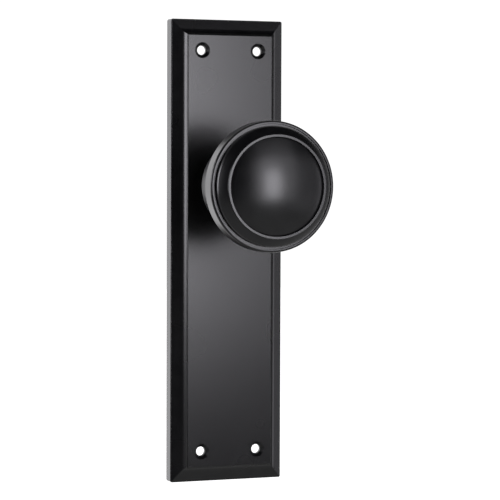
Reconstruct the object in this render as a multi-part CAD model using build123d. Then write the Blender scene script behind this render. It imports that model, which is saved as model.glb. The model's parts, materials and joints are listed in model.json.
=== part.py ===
from build123d import *
import math
import os

# Door knob on a long backplate, with its return-spring cassette and spindle.
# Frame, millimetres: the origin is where the spindle's axis meets the door face.
# +Z is up, +X is to the right, and the front of the door faces -Y.
# A depth is a distance in front of the door face, so its y is minus the depth.

# ---- Backplate ----
PLATE_WIDTH = 51.0
PLATE_HEIGHT = 200.0
PLATE_CENTRE_Z = -28.5          # the knob sits above the plate's middle
PLAN_CORNER = 1.0
EDGE_DEPTH = 5.5                # front edge of the plate's side walls
EDGE_ROUND = 0.4
BEVEL_INSET = 3.7               # the bevel runs from the edge to this inset
BEVEL_RISE = 1.4
COVE_INSET = 6.1                # the cove climbs from the bevel to this inset
COVE_RISE = 4.0
BORDER_INSET = 6.5              # the flat panel starts here
END_WIDEN = 0.6                 # the border is this much wider at the plate's ends
PANEL_RISE = 4.3
PANEL_THICK = 2.8
PANEL_DEPTH = EDGE_DEPTH + PANEL_RISE
FLOOR_DEPTH = PANEL_DEPTH - PANEL_THICK

# Hollow back
RIM_WIDTH = 2.2
RIM_POCKET_DEPTH = 3.4
SLOPE_INSET = 7.0
SLOPE_DEPTH = 4.6
FLOOR_INSET = 8.4

# Screw holes, countersunk from the front
SCREW_SPACING_X = 25.5
SCREW_SPACING_Z = 173.0
SCREW_HOLE_R = 2.0
SCREW_MOUTH_R = 3.4

# ---- Spring cassette, behind the panel ----
COVER_BACK = 1.0
COVER_THICK = 0.8
COVER_FRONT = COVER_BACK + COVER_THICK
COVER_HOLE_R = 9.0
COVER_EAR_WIDTH = 8.0
COVER_EAR_TIP = 23.5
HOUSING_R = 15.8
HOUSING_WALL = 0.8
HOUSING_FLOOR = 0.6
HOUSING_BACK = FLOOR_DEPTH - HOUSING_FLOOR
POST_Z = 19.5
POST_R = 3.4
POST_HOLE_FRONT = 6.6
M3_R = 1.5
M3_LENGTH = 5.2
M3_CLEARANCE_R = 1.7
M3_HEAD_R = 2.7
M3_HEAD_THICK = 0.9
DRIVE_SLOT_WIDTH = 0.7
DRIVE_SLOT_DEPTH = 0.45

# ---- Shank and what runs on it ----
JOURNAL_R = 8.0
RUNNING_GAP = 0.05
SHANK_BACK = 1.5
FLAT_HALF = 6.9                 # half the distance across the two flats
CIRCLIP_BACK = 2.2
CIRCLIP_THICK = 0.8
CIRCLIP_GROOVE_R = 7.2
CIRCLIP_OUTER_R = 9.7
DISC_SPRING_THICK = 0.3
CAM_BACK = 3.5
CAM_THICK = 1.3
CAM_FRONT = CAM_BACK + CAM_THICK
CAM_R = 11.2
LUG_TIP = 14.2
SPRING_LUG_WIDTH = 4.5
STOP_LUG_WIDTH = 6.0
TURN_LIMIT = 55.0               # degrees each way
STOP_PIN_R = 1.0
STOP_PIN_FRONT = 4.7
PIN_CIRCLE_R = 13.0
PEG_WIDTH = 4.5
PEG_BOTTOM = 12.2
PEG_TOP = 14.0
PEG_FRONT = 3.3
SPRING_CIRCLE_R = 13.0
SPRING_WIRE_R = 0.7
SPRING_DEPTH = 5.65
SPRING_LEG_BACK = 2.1
TOUCH_GAP = 0.05

# ---- Bush, collar and neck washer ----
BUSH_FLANGE_R = 11.6
BUSH_FLANGE_THICK = 0.6
BUSH_R = 10.0
BUSH_FRONT = 15.4
COLLAR_R = 12.6
COLLAR_FRONT = 16.0
COLLAR_ROUND = 1.0
COLLAR_MOUTH_R = 10.9
SPIGOT_R = 11.0
NECK_WASHER_R = 10.6
NECK_WASHER_FRONT = 16.15

# ---- Neck ----
NECK_BACK = 16.2
NECK_BACK_R = 10.4
NECK_WAIST_DEPTH = 19.1
NECK_WAIST_R = 10.0
NECK_FRONT = 22.0
NECK_FRONT_R = 10.8
SHANK_SPIGOT_R = 8.0
SHANK_FRONT = 31.8
SPINDLE_WIDTH = 8.0
SOCKET_WIDTH = 8.1
SOCKET_END = 29.5
SPINDLE_END = 29.0
SPINDLE_TAIL = 45.0             # how far the spindle stands out behind the door face
SPINDLE_CHAMFER = 0.6
GRUB_R = 2.0
GRUB_LENGTH = 5.0
GRUB_DEPTH = 19.1
GRUB_KEY_WIDTH = 2.0
GRUB_KEY_DEPTH = 1.8

# ---- Knob head: a bell that flares to the side band, with the lip around the face cap ----
KNOB_R = 27.1
SHOULDER_R = 18.9
SHOULDER_DEPTH = 27.2
WAIST_BACK_R = 19.4
WAIST_BACK = 28.2
WAIST_FRONT_R = 19.9
WAIST_FRONT = 35.0
FLARE_END_R = 26.5
FLARE_END = 53.5
BAND_BACK = 54.1
LIP_FRONT = 60.7
LIP_ROUND = 0.85
LIP_INNER_ROUND = 0.1
LEDGE_DEPTH = 57.5
SHELL_WALL = 2.0
SHELL_INNER_R = 24.4
HUB_FRONT = 25.2
HUB_INNER_R = 13.6
WASHER_R = 13.0
WASHER_THICK = 0.8
NUT_ACROSS_FLATS = 22.0
NUT_THICK = 5.0

# Face cap, from its edge inside the lip to the dome
CAP_R = 25.75
CAP_WALL = 1.3
GROOVE_DEPTH = 60.0
STEP_R = 24.9
STEP_DEPTH = 61.3
SLOPE_FOOT_R = 24.45
SLOPE_FOOT_DEPTH = 62.45
RING_OUTER_R = 21.4
RING_INNER_R = 20.35
RING_SEAT_DEPTH = 65.1
RING_TOP_DEPTH = 66.15
RING_ROUND = 0.12
DOME_DEPTH = 65.4
DOME_TOP = 70.2
CAP_BEND_R = 23.4
CAP_BEND_DEPTH = 60.4
DOME_HEIGHT = DOME_TOP - DOME_DEPTH
DOME_SPHERE_R = (RING_INNER_R**2 + DOME_HEIGHT**2) / (2 * DOME_HEIGHT)


def outline_of(points):
    """Closed flat face through (radius, depth) points, in the plane of X and the turning axis."""
    corners = [(radius, -depth) for radius, depth in points]
    return make_face(Polyline(*corners, close=True))


def turned(points):
    """Solid of revolution about the knob's axis."""
    return revolve(outline_of(points), Axis.Y)


def ring(inner, outer, back, front):
    return turned([(inner, back), (outer, back), (outer, front), (inner, front)])


def rod(radius, back, front):
    return ring(0, radius, back, front)


def block(width, height, back, front):
    """Rectangular bar along the knob's axis."""
    return Pos(0, -(back + front) / 2, 0) * Box(width, front - back, height)


def mirrored_face(half_outline):
    """Face bounded by an outline on the +X side and its mirror image."""
    other_half = [mirror(edge, Plane.YZ) for edge in half_outline]
    return make_face(half_outline + other_half)


def mitred(section):
    """Block whose four sides all carry the same moulding, mitred at its corners."""
    along_z = extrude(Plane.XY * section(PLATE_WIDTH / 2), PLATE_HEIGHT / 2, both=True)
    along_x = extrude(
        Rot(0, 90, 0) * section(PLATE_HEIGHT / 2), PLATE_WIDTH / 2, both=True
    )
    return Pos(0, 0, PLATE_CENTRE_Z) * (along_z & along_x)


def moulding_section(half):
    """Plate section from the raised panel, over cove and bevel, down to the door face."""
    inner_half = half if half < PLATE_HEIGHT / 2 else half - END_WIDEN
    panel_edge = (inner_half - BORDER_INSET, -PANEL_DEPTH)
    cove_top = (inner_half - COVE_INSET, -EDGE_DEPTH - COVE_RISE)
    cove_foot = (inner_half - BEVEL_INSET, -EDGE_DEPTH - BEVEL_RISE)
    bevel_foot = (half - EDGE_ROUND, -EDGE_DEPTH)
    side_top = (half, -EDGE_DEPTH + EDGE_ROUND)
    bevel_run = (cove_foot[0] - bevel_foot[0], -BEVEL_RISE)
    return mirrored_face([
        Line((0, -PANEL_DEPTH), panel_edge),
        TangentArc(panel_edge, cove_top, tangent=(1, 0)),
        TangentArc(cove_foot, cove_top, tangent=bevel_run),
        Line(cove_foot, bevel_foot),
        TangentArc(side_top, bevel_foot, tangent=(0, -1)),
        Line(side_top, (half, 0)),
        Line((half, 0), (0, 0)),
    ])


def hollow_section(half):
    """Section of the hollow behind the panel, which follows the moulding."""
    points = [
        (0, 0),
        (half - RIM_WIDTH, 0),
        (half - RIM_WIDTH, -RIM_POCKET_DEPTH),
        (half - SLOPE_INSET, -SLOPE_DEPTH),
        (half - FLOOR_INSET, -FLOOR_DEPTH),
        (0, -FLOOR_DEPTH),
    ]
    return mirrored_face([Line(a, b) for a, b in zip(points, points[1:])])


def screw_places():
    return [
        Pos(x, 0, PLATE_CENTRE_Z + z)
        for x in (-SCREW_SPACING_X / 2, SCREW_SPACING_X / 2)
        for z in (-SCREW_SPACING_Z / 2, SCREW_SPACING_Z / 2)
    ]


def make_backplate():
    plan = RectangleRounded(PLATE_WIDTH, PLATE_HEIGHT, PLAN_CORNER)
    plan_block = extrude(Rot(90, 0, 0) * plan, 2 * PANEL_DEPTH, both=True)
    plate = mitred(moulding_section) & (Pos(0, 0, PLATE_CENTRE_Z) * plan_block)
    plate -= mitred(hollow_section)
    for side in (-1, 1):
        post = rod(POST_R, COVER_FRONT, FLOOR_DEPTH) - rod(M3_R, COVER_FRONT, POST_HOLE_FRONT)
        plate += Pos(0, 0, side * POST_Z) * post
    plate -= rod(SPIGOT_R, 0, PANEL_DEPTH)
    sink = SCREW_MOUTH_R - SCREW_HOLE_R
    screw_hole = rod(SCREW_HOLE_R, 0, PANEL_DEPTH) + turned([
        (0, PANEL_DEPTH - sink),
        (SCREW_HOLE_R, PANEL_DEPTH - sink),
        (SCREW_MOUTH_R, PANEL_DEPTH),
        (0, PANEL_DEPTH),
    ])
    for place in screw_places():
        plate -= place * screw_hole
    return plate


def make_collar():
    """Boss on the panel, with a spigot peened through the plate and the housing floor."""
    collar = turned([
        (BUSH_R, HOUSING_BACK),
        (SPIGOT_R, HOUSING_BACK),
        (SPIGOT_R, PANEL_DEPTH),
        (COLLAR_R, PANEL_DEPTH),
        (COLLAR_R, COLLAR_FRONT),
        (COLLAR_MOUTH_R, COLLAR_FRONT),
        (COLLAR_MOUTH_R, BUSH_FRONT),
        (BUSH_R, BUSH_FRONT),
    ])
    rim = collar.edges().filter_by(GeomType.CIRCLE).group_by(Axis.Y)[0].sort_by(SortBy.RADIUS)[-1]
    return fillet(rim, COLLAR_ROUND)


def make_bearing_bush():
    flange_back = HOUSING_BACK - BUSH_FLANGE_THICK
    bore = JOURNAL_R + RUNNING_GAP
    flange = ring(bore, BUSH_FLANGE_R, flange_back, HOUSING_BACK)
    return flange + ring(bore, BUSH_R, flange_back, BUSH_FRONT)


def make_neck_washer():
    return ring(JOURNAL_R + RUNNING_GAP, NECK_WASHER_R, BUSH_FRONT, NECK_WASHER_FRONT)


def make_spring_housing():
    floor = ring(SPIGOT_R, HOUSING_R, HOUSING_BACK, FLOOR_DEPTH)
    return floor + ring(HOUSING_R - HOUSING_WALL, HOUSING_R, COVER_FRONT, FLOOR_DEPTH)


def stop_pin_places():
    """Each pin touches the stop lug's side when the knob is at its limit."""
    lug_reach = STOP_LUG_WIDTH / 2 + STOP_PIN_R + TOUCH_GAP
    from_below = math.radians(TURN_LIMIT) + math.asin(lug_reach / PIN_CIRCLE_R)
    x = PIN_CIRCLE_R * math.sin(from_below)
    z = -PIN_CIRCLE_R * math.cos(from_below)
    return [Pos(-x, 0, z), Pos(x, 0, z)]


def make_spring_cover():
    ears = block(COVER_EAR_WIDTH, 2 * COVER_EAR_TIP, COVER_BACK, COVER_FRONT)
    ears = fillet(ears.edges().filter_by(Axis.Y), COVER_EAR_WIDTH / 2 - TOUCH_GAP)
    cover = rod(HOUSING_R, COVER_BACK, COVER_FRONT) + ears
    cover -= rod(COVER_HOLE_R, COVER_BACK, COVER_FRONT)
    for side in (-1, 1):
        cover -= Pos(0, 0, side * POST_Z) * rod(M3_CLEARANCE_R, COVER_BACK, COVER_FRONT)
    for place in stop_pin_places():
        cover -= place * rod(STOP_PIN_R, COVER_BACK, COVER_FRONT)
    return cover


def make_anchor_peg():
    """Fixed peg that the spring's legs close on."""
    peg = block(PEG_WIDTH, PEG_TOP - PEG_BOTTOM, COVER_FRONT, PEG_FRONT)
    return Pos(0, 0, (PEG_TOP + PEG_BOTTOM) / 2) * peg


def make_stop_pins():
    pin = rod(STOP_PIN_R, COVER_BACK, STOP_PIN_FRONT)
    return [place * pin for place in stop_pin_places()]


def make_cassette_screws():
    head_back = COVER_BACK - M3_HEAD_THICK
    screw = rod(M3_HEAD_R, head_back, COVER_BACK) + rod(M3_R, COVER_BACK, COVER_BACK + M3_LENGTH)
    slot_length = 2 * M3_R
    screw -= block(slot_length, DRIVE_SLOT_WIDTH, head_back, head_back + DRIVE_SLOT_DEPTH)
    screw -= block(DRIVE_SLOT_WIDTH, slot_length, head_back, head_back + DRIVE_SLOT_DEPTH)
    return [Pos(0, 0, side * POST_Z) * screw for side in (-1, 1)]


def make_return_spring():
    """One turn of wire with both legs bent back towards the door, each side of the peg."""
    leg_x = PEG_WIDTH / 2 + SPRING_WIRE_R + TOUCH_GAP
    leg_z = math.sqrt(SPRING_CIRCLE_R**2 - leg_x**2)
    ring_path = ThreePointArc(
        (leg_x, -SPRING_DEPTH, leg_z),
        (0, -SPRING_DEPTH, -SPRING_CIRCLE_R),
        (-leg_x, -SPRING_DEPTH, leg_z),
    )
    start = Plane(origin=ring_path @ 0, z_dir=ring_path % 0)
    spring = sweep(start * Circle(SPRING_WIRE_R), path=ring_path)
    for side in (-1, 1):
        leg = rod(SPRING_WIRE_R, SPRING_LEG_BACK, SPRING_DEPTH)
        spring += Pos(side * leg_x, 0, leg_z) * leg
        spring += Pos(side * leg_x, -SPRING_DEPTH, leg_z) * Sphere(SPRING_WIRE_R)
    return spring


def make_drive_cam():
    """Disc on the shank's flats; the upper lug turns the spring, the lower one meets the pins."""
    cam = rod(CAM_R, CAM_BACK, CAM_FRONT)
    spring_lug = block(SPRING_LUG_WIDTH, LUG_TIP, CAM_BACK, CAM_FRONT)
    stop_lug = block(STOP_LUG_WIDTH, LUG_TIP, CAM_BACK, CAM_FRONT)
    cam += Pos(0, 0, LUG_TIP / 2) * spring_lug
    cam += Pos(0, 0, -LUG_TIP / 2) * stop_lug
    bore = rod(JOURNAL_R, CAM_BACK, CAM_FRONT)
    return cam - (bore & block(2 * FLAT_HALF, 2 * JOURNAL_R, CAM_BACK, CAM_FRONT))


def make_thrust_washer():
    washer_front = HOUSING_BACK - BUSH_FLANGE_THICK
    return ring(JOURNAL_R + RUNNING_GAP, CAM_R, CAM_FRONT, washer_front)


def make_disc_spring():
    """Dished washer between the circlip and the cam."""
    inner = JOURNAL_R + RUNNING_GAP
    circlip_front = CIRCLIP_BACK + CIRCLIP_THICK
    return turned([
        (inner, circlip_front),
        (CIRCLIP_OUTER_R, CAM_BACK - DISC_SPRING_THICK),
        (CIRCLIP_OUTER_R, CAM_BACK),
        (inner, circlip_front + DISC_SPRING_THICK),
    ])


def make_circlip():
    clip = ring(CIRCLIP_GROOVE_R, CIRCLIP_OUTER_R, CIRCLIP_BACK, CIRCLIP_BACK + CIRCLIP_THICK)
    gap = block(CIRCLIP_GROOVE_R, CIRCLIP_OUTER_R, CIRCLIP_BACK, CIRCLIP_BACK + CIRCLIP_THICK)
    return clip - Pos(0, 0, -CIRCLIP_OUTER_R / 2) * gap


def make_shank():
    """Neck, journal and square socket in one turned piece."""
    neck = make_face([
        ThreePointArc(
            (NECK_BACK_R, -NECK_BACK),
            (NECK_WAIST_R, -NECK_WAIST_DEPTH),
            (NECK_FRONT_R, -NECK_FRONT),
        ),
        Line((NECK_FRONT_R, -NECK_FRONT), (0, -NECK_FRONT)),
        Line((0, -NECK_FRONT), (0, -NECK_BACK)),
        Line((0, -NECK_BACK), (NECK_BACK_R, -NECK_BACK)),
    ])
    shank = revolve(neck, Axis.Y) + rod(JOURNAL_R, SHANK_BACK, NECK_BACK)
    shank += rod(SHANK_SPIGOT_R, NECK_FRONT, SHANK_FRONT)
    circlip_front = CIRCLIP_BACK + CIRCLIP_THICK
    shank -= ring(CIRCLIP_GROOVE_R, NECK_BACK_R, CIRCLIP_BACK, circlip_front)
    flats = block(2 * FLAT_HALF, 2 * JOURNAL_R, SHANK_BACK, CAM_FRONT)
    shank -= rod(NECK_BACK_R, SHANK_BACK, CAM_FRONT) - flats
    shank -= block(SOCKET_WIDTH, SOCKET_WIDTH, SHANK_BACK, SOCKET_END)
    return shank - Pos(0, -GRUB_DEPTH, -NECK_FRONT_R / 2) * Cylinder(GRUB_R, NECK_FRONT_R)


def make_spindle():
    bar = block(SPINDLE_WIDTH, SPINDLE_WIDTH, -SPINDLE_TAIL, SPINDLE_END)
    return chamfer(bar.edges().filter_by(Axis.Y), SPINDLE_CHAMFER)


def make_grub_screw():
    """Set screw under the neck, with its point on the spindle and a hex key socket below."""
    screw = Cylinder(GRUB_R, GRUB_LENGTH)
    key = extrude(RegularPolygon(GRUB_KEY_WIDTH / 2, 6, major_radius=False), GRUB_KEY_DEPTH)
    screw -= Pos(0, 0, -GRUB_LENGTH / 2) * key
    return Pos(0, -GRUB_DEPTH, -SPINDLE_WIDTH / 2 - GRUB_LENGTH / 2) * screw


def make_knob_back():
    """Rear shell: bell-shaped back, straight side band and the lip around the face cap."""
    hub_edge = (NECK_FRONT_R, -NECK_FRONT)
    shoulder = (SHOULDER_R, -SHOULDER_DEPTH)
    waist_back = (WAIST_BACK_R, -WAIST_BACK)
    waist_front = (WAIST_FRONT_R, -WAIST_FRONT)
    flare_end = (FLARE_END_R, -FLARE_END)
    band_back = (KNOB_R, -BAND_BACK)
    band_front = (KNOB_R, -(LIP_FRONT - LIP_ROUND))
    lip_outer = (KNOB_R - LIP_ROUND, -LIP_FRONT)
    lip_inner = (CAP_R + LIP_INNER_ROUND, -LIP_FRONT)
    inner_flare_end = (SHELL_INNER_R, -FLARE_END)
    inner_waist = (WAIST_FRONT_R - SHELL_WALL, -WAIST_FRONT)
    waist_run = (WAIST_FRONT_R - WAIST_BACK_R, -(WAIST_FRONT - WAIST_BACK))
    inside = [
        inner_waist,
        (WAIST_BACK_R - SHELL_WALL, -WAIST_BACK),
        (HUB_INNER_R, -HUB_FRONT),
        (SHANK_SPIGOT_R, -HUB_FRONT),
        (SHANK_SPIGOT_R, -NECK_FRONT),
        hub_edge,
    ]
    section = make_face([
        TangentArc(hub_edge, shoulder, tangent=(1, 0)),
        TangentArc(waist_back, shoulder, tangent=(0, 1)),
        Line(waist_back, waist_front),
        TangentArc(waist_front, flare_end, tangent=waist_run),
        TangentArc(band_back, flare_end, tangent=(0, 1)),
        Line(band_back, band_front),
        TangentArc(band_front, lip_outer, tangent=(0, -1)),
        Line(lip_outer, lip_inner),
        Line(lip_inner, (CAP_R, -(LIP_FRONT - LIP_INNER_ROUND))),
        Line((CAP_R, -(LIP_FRONT - LIP_INNER_ROUND)), (CAP_R, -LEDGE_DEPTH)),
        Line((CAP_R, -LEDGE_DEPTH), (SHELL_INNER_R, -LEDGE_DEPTH)),
        Line((SHELL_INNER_R, -LEDGE_DEPTH), inner_flare_end),
        TangentArc(inner_waist, inner_flare_end, tangent=waist_run),
    ] + [Line(a, b) for a, b in zip(inside, inside[1:])])
    return revolve(section, Axis.Y)


def make_head_washer():
    return ring(SHANK_SPIGOT_R, WASHER_R, HUB_FRONT, HUB_FRONT + WASHER_THICK)


def make_head_nut():
    hexagon = Rot(90, 0, 0) * RegularPolygon(NUT_ACROSS_FLATS / 2, 6, major_radius=False)
    back = HUB_FRONT + WASHER_THICK
    nut = Pos(0, -back, 0) * extrude(hexagon, NUT_THICK)
    return nut - rod(SHANK_SPIGOT_R, back, back + NUT_THICK)


def make_dome():
    """Spherical shell that closes the face cap inside its ring."""
    centre = Pos(0, -(DOME_TOP - DOME_SPHERE_R), 0)
    shell = centre * (Sphere(DOME_SPHERE_R) - Sphere(DOME_SPHERE_R - CAP_WALL))
    return shell & rod(RING_INNER_R, DOME_DEPTH - RING_INNER_R, DOME_TOP)


def make_knob_face():
    """Face cap: skirt, groove, rounded slope and flat ring, with the dome inside them."""
    cap_edge = (CAP_R, -GROOVE_DEPTH)
    groove_corner = (STEP_R, -GROOVE_DEPTH)
    step_top = (STEP_R, -STEP_DEPTH)
    slope_foot = (SLOPE_FOOT_R, -SLOPE_FOOT_DEPTH)
    slope_top = (RING_OUTER_R, -RING_SEAT_DEPTH)
    shoulder = TangentArc(step_top, slope_foot, tangent=(0, -1))
    round_start = -(RING_TOP_DEPTH - RING_ROUND)
    ring_outer = (RING_OUTER_R - RING_ROUND, -RING_TOP_DEPTH)
    ring_inner = (RING_INNER_R + RING_ROUND, -RING_TOP_DEPTH)
    inner_sphere_r = DOME_SPHERE_R - CAP_WALL
    inner_rise = math.sqrt(inner_sphere_r**2 - RING_INNER_R**2)
    inner_dome_edge = (RING_INNER_R, -(DOME_TOP - DOME_SPHERE_R + inner_rise))
    inner_skirt = CAP_R - CAP_WALL
    inside = [
        inner_dome_edge,
        (CAP_BEND_R, -CAP_BEND_DEPTH),
        (inner_skirt, -(GROOVE_DEPTH - CAP_WALL)),
        (inner_skirt, -LEDGE_DEPTH),
        (CAP_R, -LEDGE_DEPTH),
        cap_edge,
        groove_corner,
        step_top,
    ]
    section = make_face([Line(a, b) for a, b in zip(inside, inside[1:])] + [
        shoulder,
        TangentArc(slope_foot, slope_top, tangent=shoulder % 1),
        Line(slope_top, (RING_OUTER_R, round_start)),
        TangentArc((RING_OUTER_R, round_start), ring_outer, tangent=(0, -1)),
        Line(ring_outer, ring_inner),
        TangentArc(ring_inner, (RING_INNER_R, round_start), tangent=(-1, 0)),
        Line((RING_INNER_R, round_start), inner_dome_edge),
    ])
    return revolve(section, Axis.Y) + make_dome()


PARTS = {
    "backplate": make_backplate,
    "collar": make_collar,
    "bearing_bush": make_bearing_bush,
    "neck_washer": make_neck_washer,
    "spring_housing": make_spring_housing,
    "spring_cover": make_spring_cover,
    "anchor_peg": make_anchor_peg,
    "stop_pins": make_stop_pins,
    "cassette_screws": make_cassette_screws,
    "return_spring": make_return_spring,
    "drive_cam": make_drive_cam,
    "thrust_washer": make_thrust_washer,
    "disc_spring": make_disc_spring,
    "circlip": make_circlip,
    "shank": make_shank,
    "spindle": make_spindle,
    "grub_screw": make_grub_screw,
    "knob_back": make_knob_back,
    "head_washer": make_head_washer,
    "head_nut": make_head_nut,
    "knob_face": make_knob_face,
}


def main():
    os.makedirs("parts", exist_ok=True)
    for name, make in PARTS.items():
        shape = make()
        solids = shape if isinstance(shape, list) else [shape]
        export_step(Compound(children=solids), f"parts/{name}.step")


main()
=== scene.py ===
import json
import math

import bpy
from mathutils import Matrix, Vector


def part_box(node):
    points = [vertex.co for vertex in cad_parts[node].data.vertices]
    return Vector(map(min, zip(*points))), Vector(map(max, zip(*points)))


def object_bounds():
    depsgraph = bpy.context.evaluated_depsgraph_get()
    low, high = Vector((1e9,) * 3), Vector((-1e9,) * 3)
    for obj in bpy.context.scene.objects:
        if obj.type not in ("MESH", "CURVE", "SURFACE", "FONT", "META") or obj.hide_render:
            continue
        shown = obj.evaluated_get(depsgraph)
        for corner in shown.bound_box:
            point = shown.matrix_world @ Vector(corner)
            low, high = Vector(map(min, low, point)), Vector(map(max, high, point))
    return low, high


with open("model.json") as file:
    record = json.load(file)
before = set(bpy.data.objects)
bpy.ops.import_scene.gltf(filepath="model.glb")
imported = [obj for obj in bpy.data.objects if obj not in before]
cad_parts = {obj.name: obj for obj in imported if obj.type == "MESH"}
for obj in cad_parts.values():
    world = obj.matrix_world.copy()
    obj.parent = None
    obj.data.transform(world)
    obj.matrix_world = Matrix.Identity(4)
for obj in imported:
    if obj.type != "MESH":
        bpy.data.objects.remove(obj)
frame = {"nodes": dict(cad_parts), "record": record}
cad_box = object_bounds()
nodes = frame["nodes"]

MM = 0.001
WHITE = (1.0, 1.0, 1.0, 1.0)

# ---- The camera's angle, and where it aims: beside the plate's middle, towards the knob ----
CAMERA_YAW = math.radians(20.79)
CAMERA_PITCH = math.radians(2.30)
CAMERA_ROLL = math.radians(0.20)
CAMERA_DISTANCE = 0.9265
CAMERA_LENS = 153.5
CAMERA_SENSOR = 36.0
CAMERA_NEAR = 0.01
AIM_RIGHT = 10.24 * MM
AIM_UP = 0.42 * MM
PLATE_EDGE_DEPTH = 5.5 * MM

# ---- Floor, in metres ----
FLOOR_DROP = 0.35
FLOOR_SIZE = 14.0
FLOOR_TONE = 0.9
FLOOR_ROUGHNESS = 0.9
FLOOR_GLOW = 1.0

# ---- Paper around the object: each glow rises over a range of the direction's Y or Z ----
PAPER_WHITE = 1.1               # what the camera sees
BACKDROP_GLOW = 1.1             # what the object reflects from behind it
BACKDROP_RAMP = (0.3, 0.6)
BELOW_GLOW = 0.45               # what the object reflects from below it
BELOW_RAMP = (0.0, -0.7)

# ---- Lights: azimuth to the right of the plate's front and elevation, in degrees, then
# distance, width and height in metres, and power in watts ----
LIGHT_TINT = (0.955, 0.94, 1.0)
SOFT_BOXES = {
    "key": (10.5, 5.5, 0.50, 0.14, 0.22, 0.60),
    "key_halo": (5.5, 8.0, 0.50, 0.23, 0.37, 0.38),
    "high_fill": (18.0, 36.0, 0.50, 0.30, 0.20, 0.13),
    "front_fill": (18.0, 10.0, 0.50, 0.30, 0.36, 0.46),
    "right_front": (45.0, 5.0, 0.60, 0.30, 0.50, 0.25),
    "right_side": (78.0, 0.0, 0.80, 0.25, 0.60, 0.90),
    "left_side": (-92.0, 12.0, 0.60, 0.35, 0.35, 2.90),
    "back_left": (-158.0, 3.0, 0.60, 0.30, 0.60, 0.40),
}


def plate_centre():
    low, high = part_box("backplate")
    middle = (low + high) / 2
    return Vector((middle.x, -PLATE_EDGE_DEPTH, middle.z))


def add_camera():
    data = bpy.data.cameras.new("camera")
    data.lens = CAMERA_LENS
    data.sensor_width = CAMERA_SENSOR
    data.clip_start = CAMERA_NEAR
    turn = Matrix.Rotation(-CAMERA_YAW, 4, "Z")
    tilt = Matrix.Rotation(math.pi / 2 - CAMERA_PITCH, 4, "X")
    roll = Matrix.Rotation(CAMERA_ROLL, 4, "Z")
    level = turn @ tilt
    offset = level @ Vector((AIM_RIGHT, AIM_UP, CAMERA_DISTANCE))
    camera = bpy.data.objects.new("camera", data)
    camera.matrix_world = Matrix.Translation(plate_centre() + offset) @ level @ roll
    bpy.context.scene.collection.objects.link(camera)
    bpy.context.scene.camera = camera


# ---- Node helpers ----
NOISE_LOW = 0.3                 # most noise values lie between these two
NOISE_HIGH = 0.7


def new_material(name):
    material = bpy.data.materials.new(name)
    material.use_nodes = True
    return material, material.node_tree, material.node_tree.nodes["Principled BSDF"]


def add_node(tree, kind, inputs=None, **settings):
    """A node with its settings, and its input sockets set or linked by name."""
    node = tree.nodes.new(kind)
    for key, value in settings.items():
        setattr(node, key, value)
    for key, value in (inputs or {}).items():
        if isinstance(value, bpy.types.NodeSocket):
            tree.links.new(value, node.inputs[key])
        else:
            node.inputs[key].default_value = value
    return node


def object_point(tree):
    return add_node(tree, "ShaderNodeTexCoord").outputs["Object"]


def noise(tree, point, grain, detail=2.0):
    """Noise whose features are about grain metres across."""
    inputs = {"Vector": point, "Scale": 1.0 / grain, "Detail": detail}
    return add_node(tree, "ShaderNodeTexNoise", inputs).outputs["Fac"]


def map_range(tree, value, start, end, low, high, curve="LINEAR"):
    """Maps a value between start and end to the range from low to high, and holds it there."""
    inputs = {"Value": value, "From Min": start, "From Max": end, "To Min": low, "To Max": high}
    node = add_node(tree, "ShaderNodeMapRange", inputs, interpolation_type=curve)
    return node.outputs["Result"]


def spread(tree, value, low, high):
    """Maps a noise value to a range."""
    return map_range(tree, value, NOISE_LOW, NOISE_HIGH, low, high)


def tint(tree, value, dark, light):
    """Maps a noise value to a colour between two."""
    ramp = add_node(tree, "ShaderNodeValToRGB", {"Fac": value})
    first, last = ramp.color_ramp.elements
    first.position = NOISE_LOW
    first.color = (*dark, 1.0)
    last.position = NOISE_HIGH
    last.color = (*light, 1.0)
    return ramp.outputs["Color"]


def bumped(tree, height, depth, strength):
    inputs = {"Height": height, "Distance": depth, "Strength": strength}
    return add_node(tree, "ShaderNodeBump", inputs).outputs["Normal"]


# ---- Materials ----
PLATE_ROUGHNESS = 0.27
KNOB_ROUGHNESS = 0.28           # the knob's coat is a little softer
COAT_GLOSS_CHANGE = 0.006
COAT_IOR = 1.5
PEEL_GRAIN = 0.5 * MM
PEEL_HEIGHT = 0.006 * MM
COAT_CLOUD_GRAIN = 5.0 * MM
GLOSS_PATCH_GRAIN = 22.0 * MM
SCRATCH_GRAIN = 0.25 * MM
SCRATCH_HEIGHT = 0.01 * MM
SCRATCH_SHEEN = 0.06            # how far scratches lower the roughness, and raise it
SCRATCH_HAZE = 0.08
STEEL_CLOUD_GRAIN = 6.0 * MM
EVEN_GRAIN = (1.0, 1.0, 1.0)
DRAWN_ALONG_Y = (1.0, 0.03, 1.0)
ACETAL_GRAIN = 0.2 * MM
ACETAL_GRAIN_HEIGHT = 0.01 * MM
ACETAL_CLOUD_GRAIN = 4.0 * MM
ACETAL_ROUGHNESS = (0.38, 0.50)

# The darkest and the lightest colour of each finish.
BLACK_COAT = ((0.003, 0.003, 0.0035), (0.005, 0.005, 0.0055))
ACETAL = ((0.60, 0.58, 0.52), (0.66, 0.64, 0.58))
ZINC = ((0.38, 0.39, 0.39), (0.48, 0.49, 0.50))
BLACK_OXIDE = ((0.035, 0.035, 0.038), (0.055, 0.055, 0.06))
SPRING_WIRE = ((0.30, 0.30, 0.31), (0.38, 0.38, 0.39))
BARE_STEEL = ((0.15, 0.15, 0.155), (0.22, 0.22, 0.225))


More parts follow.
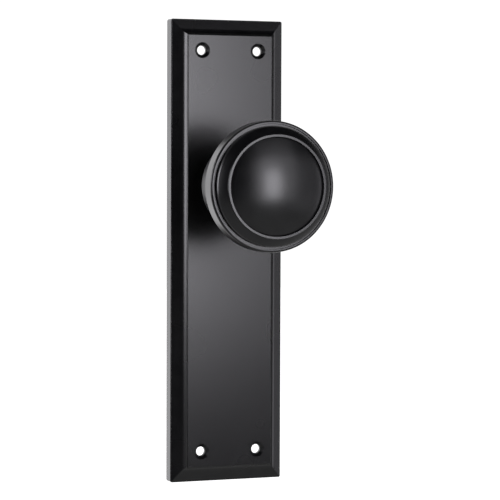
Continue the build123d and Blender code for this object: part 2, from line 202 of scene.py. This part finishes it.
def powder_coat(name, roughness):
    """Satin black coat: fine orange peel, with a little change of colour and of gloss."""
    material, tree, shader = new_material(name)
    point = object_point(tree)
    peel = noise(tree, point, PEEL_GRAIN, detail=3.0)
    clouds = noise(tree, point, COAT_CLOUD_GRAIN, detail=0.0)
    patches = noise(tree, point, GLOSS_PATCH_GRAIN, detail=0.0)
    gloss = spread(tree, patches, roughness - COAT_GLOSS_CHANGE, roughness + COAT_GLOSS_CHANGE)
    tree.links.new(bumped(tree, peel, PEEL_HEIGHT, strength=0.5), shader.inputs["Normal"])
    tree.links.new(tint(tree, clouds, *BLACK_COAT), shader.inputs["Base Color"])
    tree.links.new(gloss, shader.inputs["Roughness"])
    shader.inputs["IOR"].default_value = COAT_IOR
    return material


def steel(name, colours, roughness, grain=EVEN_GRAIN):
    """Metal with fine scratches, which may run one way, and a cloudy surface."""
    material, tree, shader = new_material(name)
    point = object_point(tree)
    stretched = add_node(tree, "ShaderNodeMapping", {"Vector": point, "Scale": grain})
    scratches = noise(tree, stretched.outputs["Vector"], SCRATCH_GRAIN, detail=3.0)
    clouds = noise(tree, point, STEEL_CLOUD_GRAIN, detail=3.0)
    gloss = spread(tree, scratches, roughness - SCRATCH_SHEEN, roughness + SCRATCH_HAZE)
    tree.links.new(bumped(tree, scratches, SCRATCH_HEIGHT, strength=0.5), shader.inputs["Normal"])
    tree.links.new(tint(tree, clouds, *colours), shader.inputs["Base Color"])
    tree.links.new(gloss, shader.inputs["Roughness"])
    shader.inputs["Metallic"].default_value = 1.0
    return material


def acetal(name):
    """Pale plastic with a fine grain and a slight change of colour and of gloss."""
    material, tree, shader = new_material(name)
    point = object_point(tree)
    clouds = noise(tree, point, ACETAL_CLOUD_GRAIN)
    grain = noise(tree, point, ACETAL_GRAIN)
    bumps = bumped(tree, grain, ACETAL_GRAIN_HEIGHT, strength=0.4)
    tree.links.new(bumps, shader.inputs["Normal"])
    tree.links.new(tint(tree, clouds, *ACETAL), shader.inputs["Base Color"])
    tree.links.new(spread(tree, clouds, *ACETAL_ROUGHNESS), shader.inputs["Roughness"])
    return material


def make_materials():
    """One material for each slot in the record."""
    return {
        "plate_coat": powder_coat("plate_coat", PLATE_ROUGHNESS),
        "knob_coat": powder_coat("knob_coat", KNOB_ROUGHNESS),
        "bush_plastic": acetal("bush_plastic"),
        "zinc_steel": steel("zinc_steel", ZINC, roughness=0.34),
        "screw_steel": steel("screw_steel", ZINC, roughness=0.26),
        "black_steel": steel("black_steel", BLACK_OXIDE, roughness=0.42),
        "spring_steel": steel("spring_steel", SPRING_WIRE, roughness=0.30),
        "spindle_steel": steel("spindle_steel", BARE_STEEL, roughness=0.38, grain=DRAWN_ALONG_Y),
    }


def dress_nodes(materials):
    """Gives each CAD node the finish of its slot in the record."""
    for subpart in frame["record"]["subparts"]:
        node = nodes[subpart["node"]]
        node.data.materials.clear()
        node.data.materials.append(materials[subpart["material_slot"]])


# ---- Making the studio ----
def glow_towards(tree, part, ramp, strength):
    """World brightness that rises smoothly from 0 to strength over a range of part."""
    return map_range(tree, part, *ramp, 0.0, strength, curve="SMOOTHSTEP")


def add_world():
    """White paper behind and below the object, and a dark room in front of it."""
    world = bpy.data.worlds.new("studio")
    world.use_nodes = True
    bpy.context.scene.world = world
    tree = world.node_tree
    background = tree.nodes["Background"]
    background.inputs["Color"].default_value = WHITE
    direction = add_node(tree, "ShaderNodeTexCoord").outputs["Generated"]
    parts = add_node(tree, "ShaderNodeSeparateXYZ", {"Vector": direction}).outputs
    backdrop = glow_towards(tree, parts["Y"], BACKDROP_RAMP, BACKDROP_GLOW)
    below = glow_towards(tree, parts["Z"], BELOW_RAMP, BELOW_GLOW)
    glow = add_node(tree, "ShaderNodeMath", {0: backdrop, 1: below}, operation="ADD").outputs[0]
    camera_ray = add_node(tree, "ShaderNodeLightPath").outputs["Is Camera Ray"]
    # A number mix has its factor in socket 0 and its two values in sockets 2 and 3.
    seen = add_node(tree, "ShaderNodeMix", {0: camera_ray, 2: glow, 3: PAPER_WHITE}).outputs[0]
    tree.links.new(seen, background.inputs["Strength"])


def add_floor():
    """Wide pale sheet well below the object, which reflections don't see."""
    z = cad_box[0].z - FLOOR_DROP
    half = FLOOR_SIZE / 2
    corners = [(-half, -half, z), (half, -half, z), (half, half, z), (-half, half, z)]
    mesh = bpy.data.meshes.new("floor")
    mesh.from_pydata(corners, [], [(0, 1, 2, 3)])
    floor = bpy.data.objects.new("floor", mesh)
    bpy.context.scene.collection.objects.link(floor)
    material, _, shader = new_material("floor_paper")
    shader.inputs["Base Color"].default_value = (FLOOR_TONE, FLOOR_TONE, FLOOR_TONE, 1.0)
    shader.inputs["Roughness"].default_value = FLOOR_ROUGHNESS
    shader.inputs["Emission Color"].default_value = WHITE
    shader.inputs["Emission Strength"].default_value = FLOOR_GLOW
    mesh.materials.append(material)
    floor.visible_glossy = False
    floor.visible_diffuse = False


def add_soft_box(name, azimuth, elevation, distance, width, height, power):
    """Area light that faces the plate's middle."""
    data = bpy.data.lights.new(name, "AREA")
    data.shape = "RECTANGLE"
    data.size = width
    data.size_y = height
    data.energy = power
    data.color = LIGHT_TINT
    turn = math.radians(azimuth)
    tilt = math.radians(elevation)
    level = math.cos(tilt)
    away = Vector((math.sin(turn) * level, -math.cos(turn) * level, math.sin(tilt)))
    light = bpy.data.objects.new(name, data)
    light.location = plate_centre() + away * distance
    light.rotation_euler = away.to_track_quat("Z", "Y").to_euler()
    bpy.context.scene.collection.objects.link(light)


def set_look():
    scene = bpy.context.scene
    scene.view_settings.view_transform = "Standard"
    scene.cycles.use_denoising = True


add_camera()
dress_nodes(make_materials())
add_world()
add_floor()
for box_name, settings in SOFT_BOXES.items():
    add_soft_box(box_name, *settings)
set_look()
